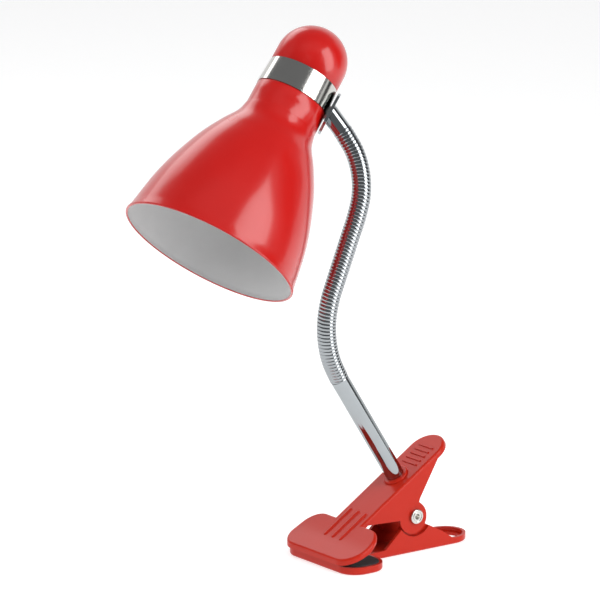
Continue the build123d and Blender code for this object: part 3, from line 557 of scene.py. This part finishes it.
# a fine centre line through the hinges and a little way over the ferrule, measured by its length
dense = spline(hinges, CENTRE_SAMPLES)
neck_end = dense[-1]
dense.append(neck_end + (disc_centre - neck_end).normalized() * FERRULE_LAP * MM)
lengths = [0.0]
for a, b in zip(dense, dense[1:]):
    lengths.append(lengths[-1] + (b - a).length)
neck_length = lengths[-1]


def centre_at(distance):
    """Point on the centre line at a distance from the stem."""
    low, high = 0, len(lengths) - 1
    while high - low > 1:
        middle = (low + high) // 2
        if lengths[middle] <= distance:
            low = middle
        else:
            high = middle
    t = (distance - lengths[low]) / (lengths[high] - lengths[low])
    return dense[low].lerp(dense[high], t)


rings = round(neck_length / (WIRE_PITCH * MM) * SAMPLES_PER_TURN)
stations = [neck_length * k / rings for k in range(rings + 1)]
spine = [centre_at(s) for s in stations]
tangents = [(spine[min(k + 1, rings)] - spine[max(k - 1, 0)]).normalized() for k in range(rings + 1)]
side = tangents[0].orthogonal().normalized()
frames = []
for k, tangent in enumerate(tangents):
    side = (side - tangent * side.dot(tangent)).normalized()
    frames.append((side.copy(), tangent.cross(side)))


def wire_radius(distance, angle):
    """Outer radius of the winding: a rounded ridge for each turn of the wire."""
    phase = (distance / (WIRE_PITCH * MM) + angle / (2 * pi)) % 1.0
    offset_from_crest = abs(phase - 0.5) * 2
    return NECK_RADIUS - GROOVE * (1 - sqrt(max(0.0, 1 - offset_from_crest ** 2)))


def neck_ring(k):
    """One ring of points round the centre line."""
    ring = []
    for column in range(NECK_AROUND):
        angle = 2 * pi * column / NECK_AROUND
        spoke = frames[k][0] * cos(angle) + frames[k][1] * sin(angle)
        ring.append(spine[k] + spoke * wire_radius(stations[k], angle) * MM)
    return ring


def ring_nearest(distance):
    """Number of the ring that lies nearest to a distance along the centre line."""
    return min(range(rings + 1), key=lambda k: abs(stations[k] - distance))


# each piece of the skin runs from the middle of one link to the middle of the next, across one hinge
link = (neck_length - FERRULE_LAP * MM) / LINKS
cuts = [0.0] + [link * (k + 0.5) for k in range(LINKS)] + [neck_length]
for piece in range(LINKS + 1):
    first = ring_nearest(cuts[piece])
    final = ring_nearest(cuts[piece + 1])
    points = [p for k in range(first, final + 1) for p in neck_ring(k)]
    faces = grid_faces(final - first + 1, NECK_AROUND)
    skin = mesh_object(f"neck_skin_{piece:02d}", points, faces, [shaded_coil_chrome])
    if piece < LINKS:
        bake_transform(skin)
        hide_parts(f"neck_link_{piece + 1:02d}")
    else:
        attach(skin, chain[-1])


# ---------------------------------------------------------------- floor, backdrop and light
FLOOR_GREY = 0.60
FLOOR_GLOW = 0.62
FLOOR_FRONT = 0.55          # the floor ends this far in front of the lamp, so that the chrome has a dark side
FLOOR_DEPTH = 5.0
FLOOR_HALF_WIDTH = 8.0
BACKDROP_HEIGHT = 5.0
BACKDROP_BEND = 1.5
FLOOR_DROP = 0.0002         # keeps the floor just under the lamp's flat face

floor_material, _, _, floor_shader = new_material("floor")
floor_shader.inputs["Base Color"].default_value = (FLOOR_GREY, FLOOR_GREY, FLOOR_GREY, 1)
floor_shader.inputs["Emission Color"].default_value = (1.0, 1.0, 1.0, 1)
floor_shader.inputs["Emission Strength"].default_value = FLOOR_GLOW
floor_shader.inputs["Roughness"].default_value = 0.9
floor_shader.inputs["Specular IOR Level"].default_value = 0.1


def sweep_floor():
    """Floor that curves up into a backdrop far behind the lamp."""
    away = Vector((-back.x, -back.y, 0)).normalized()
    across = Vector((away.y, -away.x, 0))
    bend_start = FLOOR_DEPTH - BACKDROP_BEND
    line = [(-FLOOR_FRONT, 0.0), (bend_start, 0.0)]
    for degrees_up in range(10, 91, 10):
        angle = radians(degrees_up)
        line.append((bend_start + BACKDROP_BEND * sin(angle), BACKDROP_BEND - BACKDROP_BEND * cos(angle)))
    line.append((FLOOR_DEPTH, BACKDROP_HEIGHT))
    vertices = []
    for along, rise in line:
        for half in (-FLOOR_HALF_WIDTH, FLOOR_HALF_WIDTH):
            vertices.append(away * along + across * half + Vector((0, 0, rise - FLOOR_DROP)))
    faces = [(2 * k, 2 * k + 1, 2 * k + 3, 2 * k + 2) for k in range(len(line) - 1)]
    return mesh_object("floor_sweep", vertices, faces, [floor_material])


sweep_floor()


def face_lamp(obj, azimuth, elevation, distance):
    """Stand an object at a distance from the lamp, turned towards it and hidden from the camera."""
    direction = direction_to(azimuth, elevation)
    obj.location = box_centre + direction * distance
    obj.rotation_euler = direction.to_track_quat("Z", "Y").to_euler()
    obj.visible_camera = False


def soft_light(name, azimuth, elevation, distance, size, power, reflected=True):
    """Rectangular soft box that points at the lamp; one that isn't reflected leaves no highlight."""
    light = bpy.data.lights.new(name, "AREA")
    light.shape = "RECTANGLE"
    light.size, light.size_y = size
    light.energy = power
    obj = bpy.data.objects.new(name, light)
    bpy.context.scene.collection.objects.link(obj)
    face_lamp(obj, azimuth, elevation, distance)
    obj.visible_glossy = reflected


def card(name, azimuth, elevation, distance, size, grey):
    """Matt card beside the lamp, which the camera sees only in reflections."""
    material, _, _, shader = new_material(name)
    shader.inputs["Base Color"].default_value = (grey, grey, grey, 1)
    shader.inputs["Roughness"].default_value = 1.0
    shader.inputs["Specular IOR Level"].default_value = 0.0
    wide = size[0] / 2
    high = size[1] / 2
    corners = [(-wide, -high, 0), (wide, -high, 0), (wide, high, 0), (-wide, high, 0)]
    obj = mesh_object(name, corners, [(0, 1, 2, 3)], [material])
    face_lamp(obj, azimuth, elevation, distance)


soft_light("right_box", CAMERA_SIDE + 62, 18, 1.4, (0.75, 1.6), 17)
soft_light("left_box", CAMERA_SIDE - 88, 24, 1.5, (0.5, 1.6), 8, reflected=False)
soft_light("top_box", CAMERA_SIDE, 66, 1.6, (1.6, 0.9), 12, reflected=False)
soft_light("back_box", CAMERA_SIDE - 152, 37, 1.6, (1.0, 0.7), 3.5)
soft_light("front_box", CAMERA_SIDE - 8, 30, 3.5, (1.2, 1.2), 15, reflected=False)
card("right_card", CAMERA_SIDE + 100, 8, 1.3, (0.35, 1.7), 0.04)

world = bpy.data.worlds.new("studio")
bpy.context.scene.world = world
world.use_nodes = True
background = world.node_tree.nodes["Background"]
background.inputs["Color"].default_value = (0.96, 0.97, 1.0, 1)
background.inputs["Strength"].default_value = 0.20
